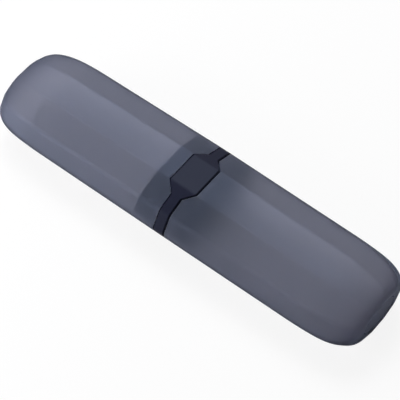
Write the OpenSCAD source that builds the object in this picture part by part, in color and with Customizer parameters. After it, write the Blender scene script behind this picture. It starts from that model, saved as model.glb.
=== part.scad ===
// Electric toothbrush travel case. Two smoky half shells meet on a dark collar that is fixed in
// the base half, and the cap half slides off it. A clear tray in each half holds the handle in one
// trough and a spare brush head in the other.
// The case lies along X with the cap towards +X. It rests on its flat underside at z = 0.

/* [Case] */
// Overall length of the closed case
case_len = 230; // [226:1:250]
// Height at the band, before the draft lowers the top
case_h = 33.6; // [33:0.2:37]
// Width between the side edges at the seam, before they are rounded
edge_w = 61.2; // [60:0.2:66]
// Width of the flat top and of the flat underside
flat_w = 19; // [17:0.5:21]
// Width between the shoulder edges, where the sloping faces meet the steep sides
shoulder_w = 49.2; // [47:0.2:51]
// Height between the upper and the lower shoulder edges
shoulder_h = 21.5; // [20:0.5:23]
// Radius of the long edges
edge_r = 4.5; // [2:0.5:5]
// Drop of the top from the band to either end, which is mould draft
top_drop = 1.8; // [0.6:0.1:2.4]
// Narrowing of each side from the band to either end
side_draft = 0.55; // [0.2:0.05:0.9]
// Thickness of the shell walls
wall = 1.6; // [1.2:0.1:1.8]

/* [Rounded ends] */
// Length over which each end rounds off
end_len = 38; // [35:0.5:42]
// How square the rounding is: 2 is an ellipse, and more is squarer
end_power = 2.85; // [2.4:0.05:3.4]
// Share of its full depth that the rounding reaches where the end face starts
end_face_share = 0.905; // [0.8:0.005:0.95]
// Share of the rounding's length at which the long edges start to soften into an oval
soften_from_share = 0.25; // [0.1:0.05:0.3]
// Share of the rounding's length at which they have become the oval
soften_to_share = 0.95; // [0.8:0.05:1]
// Thickness of the wall at the tip
end_wall = 2; // [1.6:0.1:2.4]
// Width of the shallow dish, which fills the end face
dish_w = 27.5; // [20:0.5:32]
// Height of the dish
dish_h = 17.2; // [14:0.2:20]
// Depth of the dish
dish_depth = 0.5; // [0.2:0.1:0.8]
// Width of the sloping rim inside the dish
dish_rim = 1; // [0.5:0.1:1.5]

/* [Collar] */
// Length of the band that shows between the two shells
band_len = 6.3; // [5:0.1:8]
// Length of the plate on top, along the case
plate_len = 16.7; // [14:0.1:19]
// Width across the plate's slanted sides, where they reach the band
plate_w = 30; // [26:0.5:34]
// How far each sleeve reaches into a shell past the band
sleeve_reach = 13.4; // [12:0.1:15]
// Thickness of the sleeve
sleeve_t = 1.2; // [1:0.1:1.4]
// Clearance between the sleeve and the cap
cap_fit = 0.2; // [0.1:0.05:0.3]
// Clearance between the sleeve and the base, where the two are bonded
base_fit = 0.05; // [0.02:0.01:0.1]
// Open line between the band and the cap
cap_gap = 0.7; // [0.3:0.1:0.9]
// Line between the band and the base
base_gap = 0.2; // [0.05:0.05:0.3]

/* [Seal] */
// Length of the soft ring along the case
seal_len = 2.4; // [1.6:0.2:3]
// Depth of the ring's groove in the sleeve
seal_sink = 0.6; // [0.4:0.1:0.7]
// How far the ring stands proud of the sleeve
seal_proud = 0.12; // [0.05:0.01:0.15]
// Clearance between the ring and the sides of its groove
seal_play = 0.1; // [0.05:0.05:0.2]
// Distance from the plate to the ring's groove
seal_from = 1.4; // [1:0.1:2]

/* [Bays] */
// Diameter of the brush handle
handle_d = 22.5; // [20:0.5:23]
// Diameter of the spare brush head
head_d = 16; // [13:0.5:16]
// Free space all round the handle and the head
bay_play = 0.3; // [0.1:0.1:0.5]
// Space between the handle and the head
bay_gap = 4; // [3:0.5:5]

/* [Trays] */
// Thickness of the tray
tray_t = 1; // [0.8:0.1:1.2]
// Height of the trough sides above the shell's floor
tray_rise = 7.4; // [6:0.2:8]
// Space between a trough and the sloping wall under it
tray_side_gap = 0.5; // [0.3:0.1:0.8]
// Space between the sleeve's end and the tray
tray_front_gap = 0.5; // [0.3:0.1:1]
// Distance from the shell's outer tip to the tray's end stop
tray_end_gap = 21; // [20:0.5:26]
// How far the tray's foot stops short of the end stop
foot_short = 11; // [10:0.5:16]
// How far the foot stays inside the edges of the flat floor
foot_inset = 1.8; // [1.5:0.1:2.5]
// Gap under the foot, which an adhesive pad fills
foot_gap = 0.05; // [0.02:0.01:0.1]
// Width of each web between foot and trough
web_w = 1.2; // [1:0.1:1.6]
// Thickness of the end stop
stop_t = 1.4; // [1.2:0.1:1.8]
// How far the end stop reaches past a trough's hollow
stop_lap = 0.5; // [0.3:0.1:0.6]

/* [Pads] */
// Thickness of the soft pads in the handle trough
pad_t = 0.6; // [0.4:0.1:0.8]
// Length of each pad
pad_len = 12; // [8:1:16]
// Distance from either end of the trough to a pad
pad_from = 9; // [6:1:12]
// How far the pads stay below the trough's edges
pad_low = 1.2; // [0.8:0.1:2]
// Glue line behind a pad or a bumper
glue_gap = 0.05; // [0.02:0.01:0.1]
// Diameter of the soft bumper at the handle's end
bumper_d = 15; // [12:0.5:18]
// Thickness of the bumper
bumper_t = 2.5; // [2:0.1:3.5]
// Radius of the bumper's front edge
bumper_edge_r = 0.8; // [0.4:0.1:1]

/* [Head posts] */
// Diameter of the post that a spare head pushes on to
post_d = 3.6; // [3:0.1:4]
// Length of the post in front of its flange
post_len = 11; // [8:0.5:14]
// Length of the cone at the post's tip
post_tip = 1.2; // [0.8:0.1:1.6]
// Diameter of the flange on the end stop
post_flange_d = 9; // [7:0.5:10]
// Thickness of the flange
post_flange_t = 1.2; // [1:0.1:1.6]
// Clearance round the post in the end stop
post_fit = 0.05; // [0.02:0.01:0.08]
// Length of the post behind the end stop
post_tail = 1.5; // [1:0.1:2]

/* [Hidden] */
$fn = 64;

half_len = case_len / 2;
half_band = band_len / 2;
half_plate = plate_len / 2;
sleeve_end = half_band + sleeve_reach;
end_start = half_len - end_len;
mid_z = case_h / 2;
// Segments in each rounded corner, and rings in each rounded end
corner_steps = 4;
end_steps = 12;
// Least radius that a corner keeps on an inner face
least_r = edge_r / 8;
// Run past a face that a cut goes through
overrun = wall / 4;
// Depth of the sleeve's inner face below the shell's outer face
sleeve_inset = wall + cap_fit + sleeve_t;

// The lower slope as a line: its outward normal, seen from the end of the case
slope_run = (shoulder_w - flat_w) / 2;
slope_rise = (case_h - shoulder_h) / 2;
slope_len = norm([slope_run, slope_rise]);
slope_y = slope_rise / slope_len;
slope_z = slope_run / slope_len;

// The troughs: hollow radii, and axes that keep them just above the floor and the lower slopes.
// The handle lies at mid height, or higher where a low case would sink its trough into the floor.
handle_r = handle_d / 2 + bay_play + pad_t;
head_r = head_d / 2 + bay_play;
handle_z = max(mid_z, wall + tray_side_gap + tray_t + handle_r);
handle_y = -flat_w / 2 - (handle_z * slope_z - wall - handle_r - tray_t - tray_side_gap) / slope_y;
head_y = handle_y + (handle_d + head_d) / 2 + bay_gap;
head_z = (head_r + tray_t + wall + tray_side_gap + (head_y - flat_w / 2) * slope_y) / slope_z;
tray_top = wall + tray_rise;
tray_front = sleeve_end + tray_front_gap;
stop_x = half_len - tray_end_gap - stop_t;
foot_end = stop_x - foot_short;
foot_w = flat_w - 2 * foot_inset;

function unit(v) = v / norm(v);
function turned(v, angle) = [v.x * cos(angle) - v.y * sin(angle), v.x * sin(angle) + v.y * cos(angle)];
function clamp(v, low, high) = min(max(v, low), high);

// A share eased in and out, so that what follows it starts and stops smoothly
function eased(share) = (1 - cos(180 * share)) / 2;

// Share of the draft that has built up at a distance a from the seam
function draft_share(a) = max(0, a - half_band) / (half_len - half_band);

// Share of the end's rounding at a share t of its length
function fall_share(t) = 1 - pow(1 - pow(clamp(t, 0, 1), end_power), 1 / end_power);

// Share of the end's length at which the rounding has reached a share
function reach_share(fall) = pow(1 - pow(1 - fall, end_power), 1 / end_power);

// Sharp corners of the section, round it from the front top edge, as [y, z]
function corners(a) = let(
    draft = draft_share(a),
    top = case_h - top_drop * draft,
    middle = top / 2,
    side = side_draft * draft,
    flat = flat_w / 2 - side / 2,
    shoulder = shoulder_w / 2 - side,
    edge = edge_w / 2 - side,
    rise = shoulder_h / 2 * top / case_h
) [
    [-flat, top], [-shoulder, middle + rise], [-edge, middle], [-shoulder, middle - rise], [-flat, 0],
    [flat, 0], [shoulder, middle - rise], [edge, middle], [shoulder, middle + rise], [flat, top]
];

// A corner moved in so that both faces beside it move in by depth
function moved_in(before, p, after, depth) = let(
    u = unit(before - p),
    v = unit(after - p),
    half_sine = sqrt((1 - u * v) / 2)
) p + unit(u + v) * depth / half_sine;

// All corners of the section with its faces moved in by depth
function inner_corners(a, depth) = let(c = corners(a), n = len(c)) [
    for (i = [0:n - 1]) moved_in(c[(i + n - 1) % n], c[i], c[(i + 1) % n], depth)
];

// Points of the arc that rounds a corner
function corner_arc(before, p, after, r) = let(
    u = unit(before - p),
    v = unit(after - p),
    half_turn = 90 - acos(clamp(u * v, -1, 1)) / 2,
    centre = moved_in(before, p, after, r)
) [for (i = [0:corner_steps]) centre - turned(unit(u + v) * r, half_turn * (2 * i / corner_steps - 1))];

// Share of the upper slope, from the top edge, at which the plate's slanted side ends
plate_share = (plate_w - flat_w) / (shoulder_w - flat_w);

// The rounded section, with a point on each upper slope where the plate ends
function section(a, depth) = let(
    c = inner_corners(a, depth),
    n = len(c),
    r = max(edge_r - depth, least_r)
) [
    for (i = [0:n - 1]) each concat(
        corner_arc(c[(i + n - 1) % n], c[i], c[(i + 1) % n], r),
        i == 0 ? [c[0] + (c[1] - c[0]) * plate_share] : [],
        i == n - 2 ? [c[n - 1] + (c[n - 2] - c[n - 1]) * plate_share] : []
    )
];

seam_section = section(0, 0);
ring_size = len(seam_section);

// Distance from the seam to the edge of the band or plate, at each point round the section
band_edge = [
    for (p = seam_section)
        p.y < mid_z ? half_band
            : half_band + (half_plate - half_band)
                * clamp((plate_w / 2 - abs(p.x)) / (plate_w / 2 - flat_w / 2), 0, 1)
];

// A ring across the straight stretch, each point at its own distance from the seam
function straight_ring(places, depth, side) = let(
    near = section(half_band, depth),
    far = section(end_start, depth),
    span = end_start - half_band
) [
    for (j = [0:ring_size - 1]) let(p = near[j] + (far[j] - near[j]) * (places[j] - half_band) / span)
        [side * places[j], p.x, p.y]
];

function level_ring(place, depth, side) = straight_ring([for (j = [0:ring_size - 1]) place], depth, side);

// The full depth of the rounding, from the sides and from the top, and the place of the end face in it
end_side_in = (edge_w / 2 - side_draft - dish_w / 2) / end_face_share;
end_top_in = (case_h - top_drop - dish_h) / 2 / end_face_share;
tip_share = reach_share(end_face_share);

// A ring in the rounded end, at a share t of the way to the end face
function end_ring(t, depth, length, size_share, sunk) = let(
    a = end_start + t * length,
    draft = draft_share(a),
    half_top = (case_h - top_drop * draft) / 2,
    half_edge = edge_w / 2 - side_draft * draft,
    fall = fall_share(t * tip_share),
    soft = eased(clamp((t - soften_from_share) / (soften_to_share - soften_from_share), 0, 1)),
    scale_y = (1 - end_side_in * fall / half_edge) * size_share,
    scale_z = (1 - end_top_in * fall / half_top) * size_share
) [
    for (p = section(a, depth)) let(
        y = p.x,
        z = p.y - half_top,
        turn = atan2(z / (half_top - depth), y / (half_edge - depth)),
        soft_y = (half_edge - depth) * cos(turn),
        soft_z = (half_top - depth) * sin(turn)
    ) [a - sunk, (y + (soft_y - y) * soft) * scale_y, half_top + (z + (soft_z - z) * soft) * scale_z]
];

// Shares of the rounding's length at which rings stand, closer together towards the tip
function end_shares() = [for (i = [1:end_steps]) sin(90 * i / end_steps)];

// Faces between ring i and ring k
function strip(i, k) = [
    for (j = [0:ring_size - 1]) let(m = (j + 1) % ring_size) each [
        [i * ring_size + j, k * ring_size + m, i * ring_size + m],
        [i * ring_size + j, k * ring_size + j, k * ring_size + m]
    ]
];

// A solid whose skin runs through all the rings and closes flat over the first and the last
module skin(rings) {
    count = len(rings);
    first = [for (j = [ring_size - 1:-1:0]) j];
    last = [for (j = [0:ring_size - 1]) (count - 1) * ring_size + j];
    polyhedron(
        points = [for (ring = rings) each ring],
        faces = concat([for (i = [0:count - 2]) each strip(i + 1, i)], [last], [first])
    );
}

// A solid ring whose skin runs through all the rings and back to the first
module loop_skin(rings) {
    count = len(rings);
    polyhedron(
        points = [for (ring = rings) each ring],
        faces = [for (i = [0:count - 1]) each strip((i + 1) % count, i)]
    );
}

// One half shell towards +X, with its mouth cut round the band and plate
module half_shell(gap) {
    mouth = [for (edge = band_edge) edge + gap];
    rim_share = 1 - 2 * dish_rim / dish_w;
    outer = concat(
        [straight_ring(mouth, 0, 1), level_ring(end_start, 0, 1)],
        [for (t = end_shares()) end_ring(t, 0, end_len, 1, 0)],
        [end_ring(1, 0, end_len, rim_share, dish_depth)]
    );
    inner = concat(
        [straight_ring(mouth, wall, 1), level_ring(end_start, wall, 1)],
        [for (t = end_shares()) end_ring(t, wall, end_len - end_wall, 1, 0)]
    );
    backwards = [for (i = [len(inner) - 1:-1:0]) inner[i]];
    skin(concat(backwards, outer));
}

module base_shell() {
    color([0.44, 0.45, 0.52, 0.75])
        mirror([1, 0, 0])
            half_shell(base_gap);
}

module cap_shell() {
    color([0.44, 0.45, 0.52, 0.75])
        half_shell(cap_gap);
}

// Band, plate and both sleeves in one moulding, with the seal's groove on the cap side
module collar() {
    groove = half_plate + seal_from;
    groove_end = groove + seal_len + 2 * seal_play;
    cap_depth = wall + cap_fit;
    color([0.12, 0.13, 0.18])
        loop_skin([
            level_ring(sleeve_end, wall + base_fit, -1),
            straight_ring(band_edge, wall + base_fit, -1),
            straight_ring(band_edge, 0, -1),
            straight_ring(band_edge, 0, 1),
            straight_ring(band_edge, cap_depth, 1),
            level_ring(groove, cap_depth, 1),
            level_ring(groove, cap_depth + seal_sink, 1),
            level_ring(groove_end, cap_depth + seal_sink, 1),
            level_ring(groove_end, cap_depth, 1),
            level_ring(sleeve_end, cap_depth, 1),
            level_ring(sleeve_end, sleeve_inset, 1),
            level_ring(sleeve_end, sleeve_inset, -1)
        ]);
}

// Soft ring that grips the cap
module cap_seal() {
    start = half_plate + seal_from + seal_play;
    outside = wall + cap_fit - seal_proud;
    inside = wall + cap_fit + seal_sink - glue_gap;
    color([0.07, 0.07, 0.09])
        loop_skin([
            level_ring(start, outside, 1),
            level_ring(start + seal_len, outside, 1),
            level_ring(start + seal_len, inside, 1),
            level_ring(start, inside, 1)
        ]);
}

// A flat shape drawn in the section's own [y, z], given a length along X
module along(from, length) {
    translate([from, 0, 0])
        rotate([90, 0, 90])
            linear_extrude(length)
                children();
}

// The walls of both troughs, up to the trays' top edge
module trough_walls() {
    intersection() {
        translate([-edge_w / 2, 0])
            square([edge_w, tray_top]);
        difference() {
            union() {
                translate([handle_y, handle_z])
                    circle(handle_r + tray_t);
                translate([head_y, head_z])
                    circle(head_r + tray_t);
            }
            trough_hollows();
        }
    }
}

module trough_hollows() {
    translate([handle_y, handle_z])
        circle(handle_r);
    translate([head_y, head_z])
        circle(head_r);
}

// The foot on the shell's floor and the webs that carry the troughs
module tray_foot() {
    floor_z = wall + foot_gap;
    difference() {
        union() {
            translate([-foot_w / 2, floor_z])
                square([foot_w, tray_t]);
            for (web_y = [-foot_w / 2, foot_w / 2 - web_w])
                translate([web_y, floor_z])
                    square([web_w, tray_top - floor_z]);
        }
        trough_hollows();
    }
}

// The end stop: a round wall behind each trough
module stop_shape() {
    intersection() {
        translate([-edge_w / 2, 0])
            square([edge_w, handle_z + handle_r / 2]);
        union() {
            translate([handle_y, handle_z])
                circle(handle_r + stop_lap);
            translate([head_y, head_z])
                circle(head_r + stop_lap);
        }
    }
}

module half_tray() {
    difference() {
        union() {
            along(tray_front, stop_x - tray_front)
                trough_walls();
            along(tray_front, foot_end - tray_front)
                tray_foot();
            along(stop_x, stop_t)
                stop_shape();
        }
        translate([stop_x - overrun, head_y, head_z])
            rotate([0, 90, 0])
                cylinder(d = post_d + 2 * post_fit, h = stop_t + 2 * overrun);
    }
}

module base_tray() {
    color([0.80, 0.82, 0.86, 0.5])
        mirror([1, 0, 0])
            half_tray();
}

module cap_tray() {
    color([0.80, 0.82, 0.86, 0.5])
        half_tray();
}

// One soft pad in the handle trough
module handle_pad(from) {
    along(from, pad_len)
        intersection() {
            translate([-edge_w / 2, 0])
                square([edge_w, tray_top - pad_low]);
            translate([handle_y, handle_z])
                difference() {
                    circle(handle_r - glue_gap);
                    circle(handle_r - pad_t);
                }
        }
}

module half_pads() {
    handle_pad(tray_front + pad_from);
    handle_pad(stop_x - pad_from - pad_len);
}

module base_pads() {
    color([0.62, 0.64, 0.70])
        mirror([1, 0, 0])
            half_pads();
}

module cap_pads() {
    color([0.62, 0.64, 0.70])
        half_pads();
}

// Soft button that the handle's end rests against, turned about the handle's axis
module half_bumper() {
    r = bumper_d / 2;
    translate([stop_x - glue_gap, handle_y, handle_z])
        rotate([0, -90, 0])
            rotate_extrude() {
                square([r - bumper_edge_r, bumper_t]);
                square([r, bumper_t - bumper_edge_r]);
                translate([r - bumper_edge_r, bumper_t - bumper_edge_r])
                    intersection() {
                        circle(bumper_edge_r);
                        square(bumper_edge_r);
                    }
            }
}

module base_bumper() {
    color([0.55, 0.57, 0.63])
        mirror([1, 0, 0])
            half_bumper();
}

module cap_bumper() {
    color([0.55, 0.57, 0.63])
        half_bumper();
}

// Post for a spare head, held in the end stop by its flange and its tail
module half_head_post() {
    straight_len = post_len - post_tip;
    translate([stop_x, head_y, head_z])
        rotate([0, -90, 0]) {
            translate([0, 0, glue_gap])
                cylinder(d = post_flange_d, h = post_flange_t);
            translate([0, 0, -stop_t - post_tail])
                cylinder(d = post_d, h = stop_t + post_tail + post_flange_t + straight_len);
            translate([0, 0, post_flange_t + straight_len])
                cylinder(d1 = post_d, d2 = post_d / 2, h = post_tip);
        }
}

module base_head_post() {
    color([0.85, 0.87, 0.90])
        mirror([1, 0, 0])
            half_head_post();
}

module cap_head_post() {
    color([0.85, 0.87, 0.90])
        half_head_post();
}

base_shell();
cap_shell();
collar();
cap_seal();
base_tray();
cap_tray();
base_pads();
cap_pads();
base_bumper();
cap_bumper();
base_head_post();
cap_head_post();
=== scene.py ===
"""Looks for an electric toothbrush travel case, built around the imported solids.

Every size is in millimetres until a mesh is finished, and in metres from then on. The case lies
along X with the cap half towards +X, and rests on z = 0.
"""

import logging
import math
from dataclasses import dataclass
from enum import Enum
from typing import Callable, Iterable, Sequence

import bmesh
import bpy
from bmesh.types import BMEdge, BMesh, BMFace, BMVert
from mathutils import Matrix, Vector


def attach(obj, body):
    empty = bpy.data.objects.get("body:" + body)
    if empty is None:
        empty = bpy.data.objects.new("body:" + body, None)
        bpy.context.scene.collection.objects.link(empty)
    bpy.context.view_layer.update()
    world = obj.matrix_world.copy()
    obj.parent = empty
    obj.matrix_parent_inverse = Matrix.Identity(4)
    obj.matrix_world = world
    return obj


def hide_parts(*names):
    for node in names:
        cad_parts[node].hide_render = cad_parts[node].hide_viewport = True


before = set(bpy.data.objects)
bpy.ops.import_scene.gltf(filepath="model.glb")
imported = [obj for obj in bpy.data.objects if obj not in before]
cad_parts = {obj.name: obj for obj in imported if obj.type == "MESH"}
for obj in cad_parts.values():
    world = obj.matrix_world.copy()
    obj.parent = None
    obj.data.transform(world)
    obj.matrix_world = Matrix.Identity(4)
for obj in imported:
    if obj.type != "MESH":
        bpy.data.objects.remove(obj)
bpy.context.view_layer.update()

MM = 0.001
LOG = logging.getLogger("travel_case")
NOISE_LOW, NOISE_HIGH = 0.3, 0.7  # most of a noise's values lie between these
RING_LAYERS = ("sec_y", "sec_z", "in_y", "in_z")  # a ring point's own place and inward way
ROUND_STEPS = 96
WELD_MM = 0.001
Rgb = tuple[float, float, float]
Socket = bpy.types.NodeSocket


class Body(Enum):
    """The two bodies that the case comes apart into."""

    BASE = "base"
    CAP = "cap"

    @property
    def side(self) -> int:
        """Which way along X this body's half of the case lies."""
        return 1 if self is Body.CAP else -1


MOUTH_GAPS = {Body.BASE: 0.2, Body.CAP: 0.7}  # the open line between each shell and the collar


class Slot(Enum):
    """The record's material slots."""

    SHELL = "smoky_shell"
    COLLAR = "dark_collar"
    SEAL = "seal_rubber"
    TRAY = "clear_tray"
    PAD = "soft_pad"
    POST = "clear_post"


class Board:
    """The node tree of a material or a world, with short ways to add and join nodes."""

    def __init__(self, owner: bpy.types.Material | bpy.types.World) -> None:
        """Starts an empty node tree.

        Args:
            owner: the material or world that the tree belongs to.
        """
        owner.use_nodes = True
        self.tree = owner.node_tree
        self.tree.nodes.clear()

    def put(self, socket: Socket, value: object) -> None:
        """Sets an input, or links it where the value is another node's output.

        Args:
            socket: the input.
            value: its value, or the output to link to it.
        """
        if isinstance(value, Socket):
            self.tree.links.new(value, socket)
        else:
            socket.default_value = value

    def add(self, kind: str, **inputs: object) -> bpy.types.Node:
        """Adds a node and sets its inputs.

        Args:
            kind: the node's type, without its ShaderNode prefix.
            inputs: values or sockets by input name, with _ for a space.

        Returns:
            The new node.
        """
        node = self.tree.nodes.new("ShaderNode" + kind)
        for key, value in inputs.items():
            self.put(node.inputs[key.replace("_", " ")], value)
        return node

    def math(self, operation: str, *values: float | Socket) -> Socket:
        """Adds a sum.

        Args:
            operation: what it does with its values.
            values: its values, in order.

        Returns:
            The result.
        """
        node = self.add("Math")
        node.operation = operation
        for socket, value in zip(node.inputs, values):
            self.put(socket, value)
        return node.outputs[0]

    def noise(self, per_m: float, detail: float, roughness: float = 0.5) -> Socket:
        """Adds a noise on the piece's own coordinates.

        Args:
            per_m: how many lumps it has to the metre.
            detail: how many finer layers it has.
            roughness: how strong the finer layers are.

        Returns:
            The noise's value, about 0.5 on average.
        """
        where = self.add("TexCoord").outputs["Object"]
        made = self.add("TexNoise", Vector=where, Scale=per_m, Detail=detail, Roughness=roughness)
        return made.outputs["Fac"]

    def spread(self, value: Socket, low: float, high: float) -> Socket:
        """Maps the middle of a noise on to a range.

        Args:
            value: the noise's value.
            low: what its low parts become.
            high: what its high parts become.

        Returns:
            The mapped value.
        """
        made = self.add(
            "MapRange", Value=value, From_Min=NOISE_LOW, From_Max=NOISE_HIGH,
            To_Min=low, To_Max=high,
        )
        return made.outputs["Result"]

    def tints(self, share: Socket, first: Rgb, second: Rgb) -> Socket:
        """Mixes two close tints by a noise.

        Args:
            share: the noise, which gives the second tint where it is high.
            first: linear colour where it is low.
            second: linear colour where it is high.

        Returns:
            The mixed colour.
        """
        ramp = self.add("ValToRGB", Fac=share)
        stops = ((NOISE_LOW, first), (NOISE_HIGH, second))
        for element, (place, tint) in zip(ramp.color_ramp.elements, stops):
            element.position = place
            element.color = (*tint, 1.0)
        return ramp.outputs["Color"]

    def paint_outline_shade(self, colour: Socket, edge: Rgb, span: tuple[float, float]) -> Socket:
        """Paints shade on clear plastic where it is seen edge on, in place of the darkening that
        its longer way through gives.

        Args:
            colour: the plastic's colour where it is seen square on.
            edge: linear colour of the painted shade, multiplied in at the outline.
            span: how far a face is turned away where the painted shade starts and where it is full.

        Returns:
            The colour for both.
        """
        # painted shade: the colour is multiplied darker as the face turns edge on to the view
        facing = self.add("LayerWeight", Blend=0.5).outputs["Facing"]
        share = self.add("MapRange", Value=facing, From_Min=span[0], From_Max=span[1])
        share.interpolation_type = "SMOOTHSTEP"
        mix = self.add("Mix", Factor=share.outputs["Result"])
        mix.data_type = "RGBA"
        mix.blend_type = "MULTIPLY"
        first, second = (socket for socket in mix.inputs[1:] if socket.type == "RGBA")
        self.put(first, colour)
        self.put(second, (*edge, 1.0))
        return next(socket for socket in mix.outputs if socket.type == "RGBA")

    def bump(self, height: Socket, depth_mm: float) -> Socket:
        """Turns a height into a normal.

        Args:
            height: from 0 to 1.
            depth_mm: how deep a height of 1 is.

        Returns:
            The normal.
        """
        made = self.add("Bump", Height=height, Distance=depth_mm * MM, Strength=1.0)
        return made.outputs["Normal"]

    def background(self, seen: float, through: float) -> Socket:
        """Tells the rays that show a background from those that light the case.

        Args:
            seen: the share for the camera's own rays.
            through: the share for rays that gloss or clear plastic sent on.

        Returns:
            The share, which is 0 for all other rays.
        """
        ray = self.add("LightPath").outputs
        bent = self.math("MAXIMUM", ray["Is Glossy Ray"], ray["Is Transmission Ray"])
        part = self.math("MULTIPLY", bent, through)
        return self.math("MULTIPLY_ADD", ray["Is Camera Ray"], seen, part)

    def blend(self, share: Socket, first: bpy.types.Node, second: bpy.types.Node) -> bpy.types.Node:
        """Mixes two shaders.

        Args:
            share: how much of the second there is.
            first: one shader.
            second: the other shader.

        Returns:
            The mixed shader.
        """
        mix = self.add("MixShader", Fac=share)
        self.put(mix.inputs[1], first.outputs[0])
        self.put(mix.inputs[2], second.outputs[0])
        return mix


@dataclass(frozen=True)
class Plastic:
    """A moulded plastic: its colour varies slightly, its surface has a fine grain, and it may carry
    painted shade at its outline.
    """

    name: str
    tint: Rgb
    tint_light: Rgb
    roughness: float
    roughness_spread: float = 0.03
    cloud_per_m: float = 28.0
    cloud_detail: float = 3.0
    grain_per_m: float = 2600.0
    grain_detail: float = 2.0
    grain_mm: float = 0.004
    clear: float = 0.0
    alpha: float = 1.0
    ior: float = 1.46
    gloss_level: float = 0.5
    gloss_tint: Rgb = (1.0, 1.0, 1.0)
    haze: float = 0.0
    haze_tint: Rgb = (1.0, 1.0, 1.0)
    haze_roughness: float = 0.6
    # painted shade at the outline: the colour multiplied in where a face is seen edge on, and the
    # facing span it grows over
    outline_shade_tint: Rgb | None = None
    outline_shade_span: tuple[float, float] = (0.66, 0.84)
    smoke: Rgb | None = None
    smoke_per_m: float = 0.0

    def make(self) -> bpy.types.Material:
        """Builds the material's nodes.

        Returns:
            The finished material.
        """
        material = bpy.data.materials.new(self.name)
        board = Board(material)
        broad = board.noise(self.cloud_per_m, self.cloud_detail)
        fine = board.noise(self.grain_per_m, self.grain_detail)
        low, high = self.roughness - self.roughness_spread, self.roughness + self.roughness_spread
        colour = board.tints(broad, self.tint, self.tint_light)
        # painted outline shade, in place of the darkening that a longer way through the plastic
        # gives
        if self.outline_shade_tint is not None:
            colour = board.paint_outline_shade(colour, self.outline_shade_tint, self.outline_shade_span)
        shader = board.add(
            "BsdfPrincipled",
            Base_Color=colour,
            Roughness=board.spread(broad, low, high),
            Normal=board.bump(fine, self.grain_mm),
            Transmission_Weight=self.clear,
            Alpha=self.alpha,
            IOR=self.ior,
            Specular_IOR_Level=self.gloss_level,
            Specular_Tint=(*self.gloss_tint, 1.0),
            Sheen_Weight=self.haze,
            Sheen_Tint=(*self.haze_tint, 1.0),
            Sheen_Roughness=self.haze_roughness,
        )
        out = board.add("OutputMaterial", Surface=shader.outputs[0])
        if self.smoke is not None:
            tint = (*self.smoke, 1.0)
            smoke = board.add("VolumeAbsorption", Color=tint, Density=self.smoke_per_m)
            board.put(out.inputs["Volume"], smoke.outputs[0])
        return material


FROSTED_SHELL = Plastic(
    name="frosted_smoky_plastic",
    tint=(0.94, 0.94, 0.94),
    tint_light=(0.97, 0.97, 0.97),
    roughness=0.62,
    clear=0.984,
    gloss_level=0.18,
    gloss_tint=(0.42, 0.60, 1.0),
    haze=0.055,
    haze_tint=(0.28, 0.44, 1.0),
    # painted shade at the shell's outline, dark navy
    outline_shade_tint=(0.05, 0.07, 0.14),
    smoke=(0.24, 0.242, 0.375),
    smoke_per_m=450.0,
)
DARK_COLLAR = Plastic(
    name="satin_navy_plastic",
    tint=(0.010, 0.0105, 0.024),
    tint_light=(0.012, 0.0125, 0.028),
    roughness=0.50,
    gloss_level=0.14,
    gloss_tint=(0.66, 0.79, 1.0),
)
SEAL_RUBBER = Plastic(
    name="black_seal_rubber",
    tint=(0.008, 0.009, 0.012),
    tint_light=(0.011, 0.012, 0.016),
    roughness=0.62,
    grain_mm=0.01,
    gloss_level=0.2,
    gloss_tint=(0.66, 0.79, 1.0),
)
CLEAR_TRAY = Plastic(
    name="clear_tray_plastic",
    tint=(0.975, 0.98, 0.99),
    tint_light=(0.985, 0.99, 1.0),
    roughness=0.10,
    clear=1.0,
    alpha=0.3,
    ior=1.3,
)
SOFT_PAD = Plastic(
    name="soft_clear_silicone",
    tint=(0.95, 0.96, 0.98),
    tint_light=(0.97, 0.98, 1.0),
    roughness=0.25,
    clear=0.95,
    alpha=0.3,
    ior=1.3,
)
CLEAR_POST = Plastic(
    name="clear_post_plastic",
    tint=(0.97, 0.98, 0.99),
    tint_light=(0.98, 0.99, 1.0),
    roughness=0.10,
    clear=1.0,
    alpha=0.4,
    ior=1.4,
)


@dataclass(frozen=True)
class Station:
    """Where one ring of a skin lies along the case.

    reach is its distance from the seam, or on the collar line from the edge of the band and plate.
    depth is how far it lies below the outer faces, and end_len the length that it rounds off over,
    or 0 for the form's own. shrink is its share of the form's size, and sunk draws it back towards
    the seam.
    """

    reach: float
    depth: float = 0.0
    on_collar_line: bool = False
    side: int = 1
    end_len: float = 0.0
    shrink: float = 1.0
    sunk: float = 0.0


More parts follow.
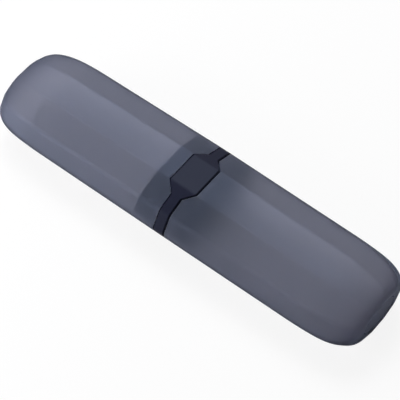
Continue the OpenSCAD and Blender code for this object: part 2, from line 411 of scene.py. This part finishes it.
@dataclass(frozen=True)
class CaseForm:
    """The outer form that both shells, the collar and the seal are cut from."""

    half_len: float = 115.0
    top: float = 33.6
    edge_w: float = 61.2
    flat_w: float = 19.0
    shoulder_w: float = 49.2
    shoulder_h: float = 21.5
    edge_r: float = 4.5
    top_drop: float = 1.8
    side_draft: float = 0.55
    end_len: float = 38.0
    end_power: float = 2.85
    face_share: float = 0.905
    soft_from_share: float = 0.25
    soft_to_share: float = 0.95
    dish_w: float = 27.5
    dish_h: float = 17.2
    half_band: float = 3.15
    half_plate: float = 8.35
    plate_w: float = 30.0
    corner_steps: int = 8
    least_turn: float = 2.0
    sharpest: float = 0.5

    @property
    def end_start(self) -> float:
        """Where the rounding of an end starts."""
        return self.half_len - self.end_len

    @property
    def side_in(self) -> float:
        """How far each side would draw in over the rounding's full depth."""
        return (self.edge_w / 2 - self.side_draft - self.dish_w / 2) / self.face_share

    @property
    def top_in(self) -> float:
        """How far the top would draw in over the rounding's full depth."""
        return (self.top - self.top_drop - self.dish_h) / 2 / self.face_share

    def corners(self) -> list[Vector]:
        """Finds the section's sharp corners at the band, and the ends of the plate's slanted sides.

        Returns:
            The points in order round the section.
        """
        flat, shoulder, edge = self.flat_w / 2, self.shoulder_w / 2, self.edge_w / 2
        middle, rise = self.top / 2, self.shoulder_h / 2
        plate_share = (self.plate_w / 2 - flat) / (shoulder - flat)
        plate_top = self.top - plate_share * (self.top - middle - rise)
        right = [
            Vector((0, flat, self.top)),
            Vector((0, self.plate_w / 2, plate_top)),
            Vector((0, shoulder, middle + rise)),
            Vector((0, edge, middle)),
            Vector((0, shoulder, middle - rise)),
            Vector((0, flat, 0)),
        ]
        left = [Vector((0, -p.y, p.z)) for p in reversed(right)]
        return right + left

    def start_ring(self, bm: BMesh) -> list[BMEdge]:
        """Draws the rounded section, which keeps each point's place in it as it is extruded.

        Args:
            bm: the mesh to draw in.

        Returns:
            The ring's edges.
        """
        corners = self.corners()
        verts = [bm.verts.new(p) for p in corners]
        for a, b in zip(verts, verts[1:] + verts[:1]):
            bm.edges.new((a, b))
        count = len(corners)
        for i, vert in enumerate(verts):
            before = (corners[i - 1] - corners[i]).normalized()
            after = (corners[(i + 1) % count] - corners[i]).normalized()
            turn = math.pi - before.angle(after)
            if turn > math.radians(self.least_turn):
                bmesh.ops.bevel(
                    bm, geom=[vert], offset=self.edge_r * math.tan(turn / 2), offset_type="OFFSET",
                    segments=self.corner_steps, profile=0.5, affect="VERTICES", clamp_overlap=False,
                    material=-1,
                )
        layers = [bm.verts.layers.float.new(name) for name in RING_LAYERS]
        middle = Vector((0, 0, self.top / 2))
        for v in bm.verts:
            ways = [(e.other_vert(v).co - v.co).normalized() for e in v.link_edges]
            along = (ways[0] - ways[1]).normalized()
            inward = Vector((0, -along.z, along.y))
            if inward.dot(middle - v.co) < 0:
                inward.negate()
            inward /= max(math.sin(ways[0].angle(ways[1]) / 2), self.sharpest)
            for layer, value in zip(layers, (v.co.y, v.co.z, inward.y, inward.z)):
                v[layer] = value
        return list(bm.edges)

    def collar_line(self, y: float, z: float) -> float:
        """Finds how far the edge of the band, or of the plate on the upper faces, is from the seam.

        Args:
            y: the point's place across the section.
            z: the point's height in the section.

        Returns:
            The distance along X.
        """
        if z < self.top / 2:
            return self.half_band
        share = (self.plate_w / 2 - abs(y)) / (self.plate_w / 2 - self.flat_w / 2)
        return self.half_band + (self.half_plate - self.half_band) * min(max(share, 0.0), 1.0)

    def fall(self, share: float) -> float:
        """Finds how much of the end's rounding has built up on the way to its flat face.

        Args:
            share: from 0 where the rounding starts to 1 at the flat face.

        Returns:
            From 0 to face_share.
        """
        power = self.end_power
        tip = (1 - (1 - self.face_share) ** power) ** (1 / power)
        return 1 - (1 - (share * tip) ** power) ** (1 / power)

    def softness(self, share: float) -> float:
        """Finds how far the long edges have softened into an oval on the way to the tip.

        Args:
            share: from 0 where the rounding starts to 1 at the flat face.

        Returns:
            From 0 to 1.
        """
        reached = (share - self.soft_from_share) / (self.soft_to_share - self.soft_from_share)
        reached = min(max(reached, 0.0), 1.0)
        return (1 - math.cos(math.pi * reached)) / 2

    def lay(self, bm: BMesh, verts: Iterable[BMVert], at: Station) -> None:
        """Moves a ring's points to a station.

        Args:
            bm: the mesh that the ring is in.
            verts: the ring's points.
            at: the station.
        """
        layers = [bm.verts.layers.float[name] for name in RING_LAYERS]
        end_len = at.end_len or self.end_len
        for v in verts:
            y0, z0, in_y, in_z = (v[layer] for layer in layers)
            reach = at.reach + (self.collar_line(y0, z0) if at.on_collar_line else 0.0)
            draft = max(0.0, reach - self.half_band) / (self.half_len - self.half_band)
            half_edge = self.edge_w / 2 - self.side_draft * draft
            half_top = (self.top - self.top_drop * draft) / 2
            y = (y0 + in_y * at.depth) * half_edge / (self.edge_w / 2)
            z = (z0 + in_z * at.depth) * half_top / (self.top / 2) - half_top
            share = min(max((reach - self.end_start) / end_len, 0.0), 1.0)
            fall = self.fall(share)
            soft = self.softness(share)
            wide, high = half_edge - at.depth, half_top - at.depth
            turn = math.atan2(z / high, y / wide)
            y += (wide * math.cos(turn) - y) * soft
            z += (high * math.sin(turn) - z) * soft
            y *= (1 - self.side_in * fall / half_edge) * at.shrink
            z *= (1 - self.top_in * fall / half_top) * at.shrink
            v.co = Vector((at.side * (reach - at.sunk), y, half_top + z))

    def sweep(self, bm: BMesh, ring: list[BMEdge], stations: Sequence[Station]) -> list[BMEdge]:
        """Lays a ring at the first station and extrudes it through the others.

        Args:
            bm: the mesh that the ring is in.
            ring: the ring's edges.
            stations: where each ring of the skin lies.

        Returns:
            The last ring's edges.
        """
        self.lay(bm, {v for e in ring for v in e.verts}, stations[0])
        for station in stations[1:]:
            made = bmesh.ops.extrude_edge_only(bm, edges=ring)["geom"]
            verts = [g for g in made if isinstance(g, BMVert)]
            new = set(verts)
            ring = [g for g in made if isinstance(g, BMEdge) and set(g.verts) <= new]
            self.lay(bm, verts, station)
        return ring


@dataclass
class Piece:
    """A finished mesh on its way to becoming a piece of the case."""

    name: str
    body: Body
    slot: Slot
    finish: Plastic
    nodes: tuple[str, ...]
    rim_mm: float = 0.0
    rim_angle: float = 40.0
    rim_steps: int = 3
    level_weight: int = 80

    def publish(self, bm: BMesh, materials: dict[str, bpy.types.Material]) -> bpy.types.Object:
        """Turns the mesh into a piece that rides on its body and stands for its nodes.

        Args:
            bm: the mesh, in millimetres, which is freed.
            materials: finished materials by name, shared by the pieces.

        Returns:
            The piece.
        """
        bmesh.ops.recalc_face_normals(bm, faces=bm.faces)
        bmesh.ops.scale(bm, vec=(MM, MM, MM), verts=bm.verts)
        mesh = bpy.data.meshes.new(self.name)
        bm.to_mesh(mesh)
        bm.free()
        mesh.shade_smooth()
        if self.finish.name not in materials:
            materials[self.finish.name] = self.finish.make()
        mesh.materials.append(materials[self.finish.name])
        piece = bpy.data.objects.new(self.name, mesh)
        bpy.context.scene.collection.objects.link(piece)
        if self.rim_mm > 0:
            rim = piece.modifiers.new("rounded_rims", "BEVEL")
            rim.width = self.rim_mm * MM
            rim.segments = self.rim_steps
            rim.limit_method = "ANGLE"
            rim.angle_limit = math.radians(self.rim_angle)
            rim.harden_normals = False
        flat = piece.modifiers.new("level_faces", "WEIGHTED_NORMAL")
        flat.weight = self.level_weight
        flat.keep_sharp = True
        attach(piece, self.body.value)
        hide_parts(*self.nodes)
        LOG.info("%s: %d faces, rides on %s", self.name, len(mesh.polygons), self.body.value)
        return piece


Builder = Callable[[], BMesh]


@dataclass
class Shell:
    """One frosted half shell, with its mouth cut round the band and plate."""

    form: CaseForm
    body: Body
    gap: float
    wall: float = 1.6
    end_wall: float = 2.0
    dish_depth: float = 0.5
    dish_land: float = 1.1
    dish_slope: float = 0.35
    mouth_clear: float = 3.0
    rim: float = 0.2
    straight_steps: int = 4
    end_steps: int = 28

    def reaches(self, end_len: float) -> list[float]:
        """Places the rings past the mouth, closer together towards the tip.

        Args:
            end_len: length over which this skin rounds off.

        Returns:
            Distances from the seam.
        """
        start = self.form.half_plate + self.gap + self.mouth_clear
        span = self.form.end_start - start
        straight = [start + span * i / self.straight_steps for i in range(self.straight_steps + 1)]
        turns = [math.pi / 2 * i / self.end_steps for i in range(1, self.end_steps + 1)]
        return straight + [self.form.end_start + end_len * math.sin(a) for a in turns]

    def dish(self) -> list[Station]:
        """Lays out the shallow dish in the end's flat face.

        Returns:
            The rings at the top and at the foot of its slope.
        """
        rings = ((self.dish_land, 0.0), (self.dish_land + self.dish_slope, self.dish_depth))
        return [
            Station(
                reach=self.form.half_len, side=self.body.side,
                shrink=1 - 2 * inward / self.form.dish_w, sunk=sunk,
            )
            for inward, sunk in rings
        ]

    def skin(self, bm: BMesh, depth: float, end_len: float) -> None:
        """Sweeps one skin of the shell from its mouth to its tip.

        Args:
            bm: the mesh to add to.
            depth: how far the skin lies below the outer faces.
            end_len: length over which it rounds off.
        """
        part = bmesh.new()
        mouth = self.form.start_ring(part)
        side = self.body.side
        stations = [Station(reach=self.gap, depth=depth, on_collar_line=True, side=side)]
        stations += [
            Station(reach=reach, depth=depth, side=side, end_len=end_len)
            for reach in self.reaches(end_len)
        ]
        if depth == 0:
            stations += self.dish()
        tip = self.form.sweep(part, mouth, stations)
        bmesh.ops.contextual_create(part, geom=tip)
        join(bm, part)

    def build(self) -> BMesh:
        """Builds both skins and closes the mouth between them.

        Returns:
            The closed shell.
        """
        bm = bmesh.new()
        self.skin(bm, 0.0, self.form.end_len)
        self.skin(bm, self.wall, self.form.end_len - self.end_wall)
        bmesh.ops.bridge_loops(bm, edges=[e for e in bm.edges if e.is_boundary])
        return bm

    def pieces(self) -> list[tuple[Piece, Builder]]:
        """Names and dresses the shell.

        Returns:
            The piece with the method that builds its mesh.
        """
        node = f"{self.body.value}_shell"
        shell = Piece(
            f"{node}_frosted", self.body, Slot.SHELL, FROSTED_SHELL, (node,), rim_mm=self.rim
        )
        return [(shell, self.build)]


@dataclass
class Collar:
    """The band, the plate and both sleeves, in one moulding."""

    form: CaseForm
    wall: float = 1.6
    sleeve_reach: float = 13.4
    sleeve_t: float = 1.2
    cap_fit: float = 0.2
    base_fit: float = 0.05
    seal_from: float = 1.4
    seal_len: float = 2.4
    seal_play: float = 0.1
    seal_sink: float = 0.6
    seal_proud: float = 0.12
    seal_lip_share: float = 0.22
    seal_valley: float = 0.3
    line_w: float = 0.35
    line_depth: float = 0.5
    base_line_w: float = 0.4
    base_line_depth: float = 0.7
    lip_w: float = 0.2
    lip_low: float = 0.12
    rim: float = 0.1

    @property
    def sleeve_end(self) -> float:
        """Distance from the seam to either end of the sleeve."""
        return self.form.half_band + self.sleeve_reach

    @property
    def groove(self) -> float:
        """Distance from the seam to the seal's groove."""
        return self.form.half_plate + self.seal_from

    def build(self) -> BMesh:
        """Builds the moulding as one closed loop of rings.

        Returns:
            The closed moulding.
        """
        bm = bmesh.new()
        ring = self.form.start_ring(bm)
        base_depth, cap_depth = self.wall + self.base_fit, self.wall + self.cap_fit
        sunk = cap_depth + self.seal_sink
        inside = cap_depth + self.sleeve_t
        groove_end = self.groove + self.seal_len + 2 * self.seal_play
        base_line = self.lip_w + self.base_line_w
        stations = [
            Station(self.sleeve_end, base_depth, side=-1),
            Station(0, base_depth, on_collar_line=True, side=-1),
            Station(0, self.lip_low, on_collar_line=True, side=-1),
            Station(0, self.lip_low, on_collar_line=True, side=-1, sunk=self.lip_w),
            Station(0, self.base_line_depth, on_collar_line=True, side=-1, sunk=self.lip_w),
            Station(0, self.base_line_depth, on_collar_line=True, side=-1, sunk=base_line),
            Station(0, 0, on_collar_line=True, side=-1, sunk=base_line),
            Station(0, 0, on_collar_line=True, sunk=self.line_w),
            Station(0, self.line_depth, on_collar_line=True, sunk=self.line_w),
            Station(0, self.line_depth, on_collar_line=True),
            Station(0, cap_depth, on_collar_line=True),
            Station(self.groove, cap_depth),
            Station(self.groove, sunk),
            Station(groove_end, sunk),
            Station(groove_end, cap_depth),
            Station(self.sleeve_end, cap_depth),
            Station(self.sleeve_end, inside),
            Station(self.sleeve_end, inside, side=-1),
        ]
        bmesh.ops.bridge_loops(bm, edges=ring + self.form.sweep(bm, ring, stations))
        return bm

    def build_seal(self) -> BMesh:
        """Builds the soft ring in its groove, with two lips that press on the cap.

        Returns:
            The closed ring.
        """
        bm = bmesh.new()
        ring = self.form.start_ring(bm)
        start = self.groove + self.seal_play
        outside = self.wall + self.cap_fit - self.seal_proud
        inside = self.wall + self.cap_fit + self.seal_sink - self.base_fit
        low, lip = outside + self.seal_valley, self.seal_lip_share
        half = [(0.0, inside), (0.0, low), (lip / 2, outside), (lip, outside), (0.5 - lip / 4, low)]
        profile = half + [(1 - share, depth) for share, depth in reversed(half)]
        stations = [Station(start + self.seal_len * share, depth) for share, depth in profile]
        bmesh.ops.bridge_loops(bm, edges=ring + self.form.sweep(bm, ring, stations))
        return bm

    def pieces(self) -> list[tuple[Piece, Builder]]:
        """Names and dresses the moulding and its seal.

        Returns:
            Each piece with the method that builds its mesh.
        """
        collar = Piece(
            "collar_moulding", Body.BASE, Slot.COLLAR, DARK_COLLAR, ("collar",), rim_mm=self.rim
        )
        seal = Piece("cap_seal_ring", Body.BASE, Slot.SEAL, SEAL_RUBBER, ("cap_seal",))
        return [(collar, self.build), (seal, self.build_seal)]


def join(bm: BMesh, part: BMesh) -> None:
    """Moves everything from one mesh into another.

    Args:
        bm: the mesh that it goes to.
        part: the mesh that it comes from, which is freed.
    """
    scratch = bpy.data.meshes.new("part")
    part.to_mesh(scratch)
    part.free()
    bm.from_mesh(scratch)
    bpy.data.meshes.remove(scratch)


@dataclass(frozen=True)
class Trough:
    """A round hollow that runs along the case, seen from the case's end."""

    y: float
    z: float
    radius: float

    def ring(self, reach: float, inner: float, outer: float) -> BMesh:
        """Draws a flat ring round the hollow's axis, or a disc.

        Args:
            reach: its distance from the seam.
            inner: radius of its hole, or 0 for a disc.
            outer: its outer radius.

        Returns:
            A new mesh with the ring alone.
        """
        part = bmesh.new()
        place = Matrix.Translation((reach, self.y, self.z)) @ Matrix.Rotation(math.pi / 2, 4, "Y")
        round_shape = {"segments": ROUND_STEPS, "matrix": place}
        bmesh.ops.create_circle(part, cap_ends=inner == 0, radius=outer, **round_shape)
        if inner > 0:
            bmesh.ops.create_circle(part, radius=inner, **round_shape)
            bmesh.ops.bridge_loops(part, edges=part.edges)
        return part

    def lathe(self, reach: float, profile: Sequence[tuple[float, float]], steps: int = 64) -> BMesh:
        """Turns a profile about the hollow's axis.

        Args:
            reach: distance from the seam to the profile's zero; it runs back towards the seam.
            profile: distance and radius of each point, which starts and ends on the axis.
            steps: how many steps the full turn has.

        Returns:
            A new mesh with the turned shape alone.
        """
        part = bmesh.new()
        points = [
            part.verts.new((reach - along, self.y + radius, self.z)) for along, radius in profile
        ]
        line = [part.edges.new(pair) for pair in zip(points, points[1:])]
        bmesh.ops.spin(
            part, geom=points + line, cent=(reach, self.y, self.z), axis=(1, 0, 0), angle=math.tau,
            steps=steps, use_merge=True,
        )
        bmesh.ops.remove_doubles(part, verts=part.verts, dist=WELD_MM)
        return part


def trim(part: BMesh, top: float) -> None:
    """Cuts off what stands above a height.

    Args:
        part: the mesh, which is still flat.
        top: the height.
    """
    bmesh.ops.bisect_plane(
        part, geom=[*part.verts, *part.edges, *part.faces], plane_co=(0, 0, top),
        plane_no=(0, 0, 1), clear_outer=True,
    )


def lengthen(part: BMesh, lengths: Sequence[float]) -> list[list[BMVert]]:
    """Draws a flat mesh out along the case into a closed solid.

    Args:
        part: the flat mesh.
        lengths: how far each step goes.

    Returns:
        Each step's new points.
    """
    faces, steps, first = list(part.faces), [], True
    for length in lengths:
        made = bmesh.ops.extrude_face_region(part, geom=faces, use_keep_orig=first)["geom"]
        verts = [g for g in made if isinstance(g, BMVert)]
        bmesh.ops.translate(part, vec=(length, 0, 0), verts=verts)
        if not first:
            bmesh.ops.delete(part, geom=faces, context="FACES")
        faces, first = [g for g in made if isinstance(g, BMFace)], False
        steps.append(verts)
    return steps


@dataclass(frozen=True)
class Bumper:
    """The soft button that the handle's end rests against."""

    radius: float = 7.5
    thick: float = 2.5
    crown: float = 0.12
    edge_r: float = 0.8
    edge_steps: int = 6
    face: tuple[tuple[float, float], ...] = (
        (0.0, 0.0), (2.0, 0.02), (3.1, 0.04), (3.35, 0.35), (3.85, 0.35), (4.1, 0.06),
    )

    def profile(self) -> list[tuple[float, float]]:
        """Draws the crowned face with its groove, the round edge and the flat back.

        Returns:
            Each point's distance from the back and from the axis.
        """
        face = [(self.thick - low, radius) for radius, low in self.face]
        turns = [math.pi / 2 * i / self.edge_steps for i in range(self.edge_steps + 1)]
        r = self.edge_r
        along, across = self.thick - self.crown - r, self.radius - r
        edge = [(along + r * math.cos(a), across + r * math.sin(a)) for a in turns]
        return face + edge + [(0.0, self.radius), (0.0, 0.0)]


@dataclass(frozen=True)
class HeadPost:
    """The post that a spare head pushes on to, with its flange and the tail behind it."""

    shaft_r: float = 1.8
    flange_r: float = 4.5
    flange_t: float = 1.2
    soft: float = 0.3
    root_fit: float = 0.02
    length: float = 12.2
    lead_len: float = 1.2
    lead_r: float = 0.98
    tip_edge: float = 0.15
    tip_r: float = 0.7
    tail: float = 2.9

    def profile(self, back: float) -> list[tuple[float, float]]:
        """Draws the post from its tail to its tip.

        Args:
            back: distance from the stop's far face to the flange's back.

        Returns:
            Each point's distance from the stop's far face and from the axis.
        """
        face, soft = back + self.flange_t, self.soft
        return [
            (-self.tail, 0),
            (-self.tail, self.shaft_r - soft),
            (soft - self.tail, self.shaft_r),
            (back, self.shaft_r),
            (back, self.flange_r - soft / 2),
            (back + soft / 2, self.flange_r),
            (face - soft, self.flange_r),
            (face - soft / 3, self.flange_r - soft / 3),
            (face, self.flange_r - soft),
            (face, self.shaft_r + self.root_fit),
            (self.length - self.lead_len, self.shaft_r),
            (self.length - self.tip_edge, self.lead_r),
            (self.length, self.tip_r),
            (self.length, 0),
        ]


@dataclass(frozen=True)
class Bay:
    """The clear tray in one half, and the soft and clear pieces on it."""

    body: Body
    handle: Trough = Trough(-10.427, 16.8, 12.15)
    head: Trough = Trough(12.823, 13.612, 8.3)
    front: float = 17.05
    stop: float = 92.6
    tray_t: float = 1.0
    tray_top: float = 9.0
    stop_t: float = 1.4
    stop_lap: float = 0.5
    stop_top: float = 22.8
    foot_half_w: float = 7.7
    foot_low: float = 1.65
    foot_short: float = 11.0
    web_w: float = 1.2
    web_tops: tuple[float, float] = (4.6, 6.9)
    post_hole_r: float = 1.85
    pad_t: float = 0.6
    pad_len: float = 12.0
    pad_from: float = 9.0
    pad_top: float = 7.8
    pad_grooves: int = 5
    groove_deep: float = 0.18
    groove_half_w: float = 0.5
    groove_land: float = 1.5
    glue: float = 0.05
    tray_rim: float = 0.25
    pad_rim: float = 0.12
    button: Bumper = Bumper()
    pin: HeadPost = HeadPost()

    def mirrored(self, bm: BMesh) -> BMesh:
        """Turns a mesh that was built on the cap's side to this half's side, and returns it."""
        bmesh.ops.scale(bm, vec=(self.body.side, 1, 1), verts=bm.verts)
        return bm

    def foot(self) -> BMesh:
        """Builds the channel that stands on the shell's floor and carries the troughs.

        Returns:
            A new mesh with the channel alone.
        """
        part = bmesh.new()
        turn = Matrix.Rotation(math.pi / 2, 4, "Z") @ Matrix.Rotation(math.pi / 2, 4, "X")
        bmesh.ops.create_grid(part, x_segments=3, y_segments=2, size=1, matrix=turn)
        part.verts.ensure_lookup_table()
        columns = sorted({round(v.co.y, 3) for v in part.verts})
        rows = sorted({round(v.co.z, 3) for v in part.verts})
        half, low = self.foot_half_w, self.foot_low
        across = (-half, self.web_w - half, half - self.web_w, half)
        for v in part.verts:
            column, row = columns.index(round(v.co.y, 3)), rows.index(round(v.co.z, 3))
            high = self.web_tops[0 if column < 2 else 1]
            v.co = Vector((self.front, across[column], (low, low + self.tray_t, high)[row]))
        inside = [f for f in part.faces if abs(f.calc_center_median().y) < self.web_w]
        hollow = max(inside, key=lambda f: f.calc_center_median().z)
        bmesh.ops.delete(part, geom=[hollow], context="FACES")
        lengthen(part, [self.stop - self.foot_short - self.front])
        return part

    def tray(self) -> BMesh:
        """Builds both troughs with their end stops, and the foot.

        Returns:
            The tray.
        """
        bm = bmesh.new()
        for trough, hole in ((self.handle, 0.0), (self.head, self.post_hole_r)):
            walls = trough.ring(self.front, trough.radius, trough.radius + self.tray_t)
            trim(walls, self.tray_top)
            lengthen(walls, [self.stop - self.front])
            join(bm, walls)
            stop = trough.ring(self.stop, hole, trough.radius + self.stop_lap)
            trim(stop, self.stop_top)
            lengthen(stop, [self.stop_t])
            join(bm, stop)
        join(bm, self.foot())
        return self.mirrored(bm)

    def pads(self) -> BMesh:
        """Builds both soft pads, each with shallow grooves across its face.

        Returns:
            Both pads.
        """
        bm = bmesh.new()
        back, face = self.handle.radius - self.glue, self.handle.radius - self.pad_t
        groove, land, count = self.groove_half_w, self.groove_land, self.pad_grooves
        end = (self.pad_len - count * 2 * groove - (count - 1) * land) / 2
        lengths = [end] + ([groove, groove, land] * count)[:-1] + [end]
        deepest = {2 + 3 * i for i in range(count)}
        for start in (self.front + self.pad_from, self.stop - self.pad_from - self.pad_len):
            part = self.handle.ring(start, face, back)
            trim(part, self.pad_top)
            centre = Vector((0, self.handle.y, self.handle.z))
            to_axis, k = Matrix.Translation(-centre), (face + self.groove_deep) / face
            for i, verts in enumerate(lengthen(part, lengths), start=1):
                if i in deepest:
                    near = [v for v in verts if (v.co.yz - centre.yz).length < (face + back) / 2]
                    bmesh.ops.scale(part, vec=(1, k, k), space=to_axis, verts=near)
            join(bm, part)
        return self.mirrored(bm)

    def bumper(self) -> BMesh:
        """Builds the soft button on the handle's end stop, and returns it."""
        return self.mirrored(self.handle.lathe(self.stop - self.glue, self.button.profile()))

    def post(self) -> BMesh:
        """Builds the post in the head trough's end stop, and returns it."""
        return self.mirrored(self.head.lathe(self.stop, self.pin.profile(self.glue)))

    def pieces(self) -> list[tuple[Piece, Builder]]:
        """Names and dresses what this half holds.

        Returns:
            Each piece with the method that builds its mesh.
        """
        body, half = self.body, self.body.value
        tray = Piece(f"{half}_tray_moulding", body, Slot.TRAY, CLEAR_TRAY, (f"{half}_tray",))
        tray.rim_mm = self.tray_rim
        pads = Piece(f"{half}_pads_grooved", body, Slot.PAD, SOFT_PAD, (f"{half}_pads",))
        pads.rim_mm = self.pad_rim
        button = Piece(f"{half}_bumper_button", body, Slot.PAD, SOFT_PAD, (f"{half}_bumper",))
        pin = Piece(f"{half}_head_post_turned", body, Slot.POST, CLEAR_POST, (f"{half}_head_post",))
        return [(tray, self.tray), (pads, self.pads), (button, self.bumper), (pin, self.post)]


@dataclass(frozen=True)
class Lamp:
    """A large soft lamp that faces the case."""

    name: str
    way: tuple[float, float, float]
    power: float
    distance_m: float = 1.25
    size_m: float = 0.8

    def hang(self) -> None:
        """Adds the lamp, which no camera sees."""
        data = bpy.data.lights.new(self.name, "AREA")
        data.shape = "SQUARE"
        data.size = self.size_m
        data.energy = self.power
        lamp = bpy.data.objects.new(self.name, data)
        bpy.context.scene.collection.objects.link(lamp)
        place = Vector(self.way).normalized() * self.distance_m
        lamp.location = place
        lamp.rotation_mode = "QUATERNION"
        lamp.rotation_quaternion = (-place).to_track_quat("-Z", "Y")
        lamp.visible_camera = False


@dataclass
class Studio:
    """The floor, the lamps, the white background and the camera."""

    azimuth: float = 38.4
    elevation: float = 56.0
    distance_m: float = 0.985
    lens_mm: float = 175.0
    sensor_mm: float = 36.0
    clip_m: tuple[float, float] = (0.05, 20.0)
    aim_mm: tuple[float, float, float] = (3.88, -0.65, 14.83)
    floor_tint: Rgb = (0.90, 0.90, 0.91)
    floor_half_m: float = 3.0
    floor_clear_mm: float = 0.3
    white_share: float = 0.88
    through_share: float = 0.26
    world_tint: Rgb = (0.95, 0.97, 1.0)
    world_strength: float = 0.06
    lamps: tuple[Lamp, ...] = (
        Lamp("key_lamp", (-0.58, 0.27, 0.77), 7.0),
        Lamp("top_lamp", (-0.35, 0.44, 0.83), 19.0, distance_m=2.0),
        Lamp("back_lamp", (-0.45, 0.75, 0.48), 1.2),
        Lamp("side_lamp", (-0.70, -0.65, 0.25), 3.4, distance_m=0.6, size_m=0.35),
    )

    def camera(self) -> None:
        """Adds the camera at the photograph's angle."""
        a, e = math.radians(self.azimuth), math.radians(self.elevation)
        back = Vector((math.sin(a) * math.cos(e), -math.cos(a) * math.cos(e), math.sin(e)))
        lens = bpy.data.cameras.new("camera")
        lens.lens = self.lens_mm
        lens.sensor_width = self.sensor_mm
        lens.clip_start, lens.clip_end = self.clip_m
        cam = bpy.data.objects.new("camera", lens)
        bpy.context.scene.collection.objects.link(cam)
        cam.location = Vector(self.aim_mm) * MM + back * self.distance_m
        cam.rotation_mode = "QUATERNION"
        cam.rotation_quaternion = (-back).to_track_quat("-Z", "Y")
        bpy.context.scene.camera = cam

    def floor(self) -> None:
        """Adds a pale floor, which shows nearly white and keeps a faint shadow of the case."""
        material = bpy.data.materials.new("pale_floor")
        board = Board(material)
        share = board.background(self.white_share, self.through_share)
        plain = board.add("BsdfDiffuse", Color=(*self.floor_tint, 1.0))
        white = board.add("Emission", Color=(1.0, 1.0, 1.0, 1.0), Strength=1.0)
        board.add("OutputMaterial", Surface=board.blend(share, plain, white).outputs[0])
        bm = bmesh.new()
        bmesh.ops.create_grid(bm, x_segments=1, y_segments=1, size=self.floor_half_m)
        bmesh.ops.translate(bm, vec=(0, 0, -self.floor_clear_mm * MM), verts=bm.verts)
        mesh = bpy.data.meshes.new("floor")
        bm.to_mesh(mesh)
        bm.free()
        mesh.materials.append(material)
        floor = bpy.data.objects.new("floor", mesh)
        bpy.context.scene.collection.objects.link(floor)

    def world(self) -> None:
        """Lights the case softly from all round and shows white behind it."""
        world = bpy.data.worlds.new("studio")
        bpy.context.scene.world = world
        board = Board(world)
        share = board.background(1.0, self.through_share)
        soft = board.add("Background", Color=(*self.world_tint, 1.0), Strength=self.world_strength)
        white = board.add("Background", Color=(1.0, 1.0, 1.0, 1.0), Strength=1.0)
        board.add("OutputWorld", Surface=board.blend(share, soft, white).outputs[0])

    def set_up(self) -> None:
        """Adds everything that isn't the case."""
        self.camera()
        self.floor()
        self.world()
        for lamp in self.lamps:
            lamp.hang()
        bpy.context.scene.view_settings.view_transform = "Standard"


def main() -> None:
    """Builds the case piece by piece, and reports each."""
    logging.basicConfig(level=logging.INFO, format="%(name)s: %(message)s")
    Studio().set_up()
    form = CaseForm()
    shells = [Shell(form, body, gap) for body, gap in MOUTH_GAPS.items()]
    bays = [Bay(body) for body in Body]
    materials: dict[str, bpy.types.Material] = {}
    for assembly in (*shells, Collar(form), *bays):
        for piece, build in assembly.pieces():
            piece.publish(build(), materials)


if __name__ == "__main__":
    main()
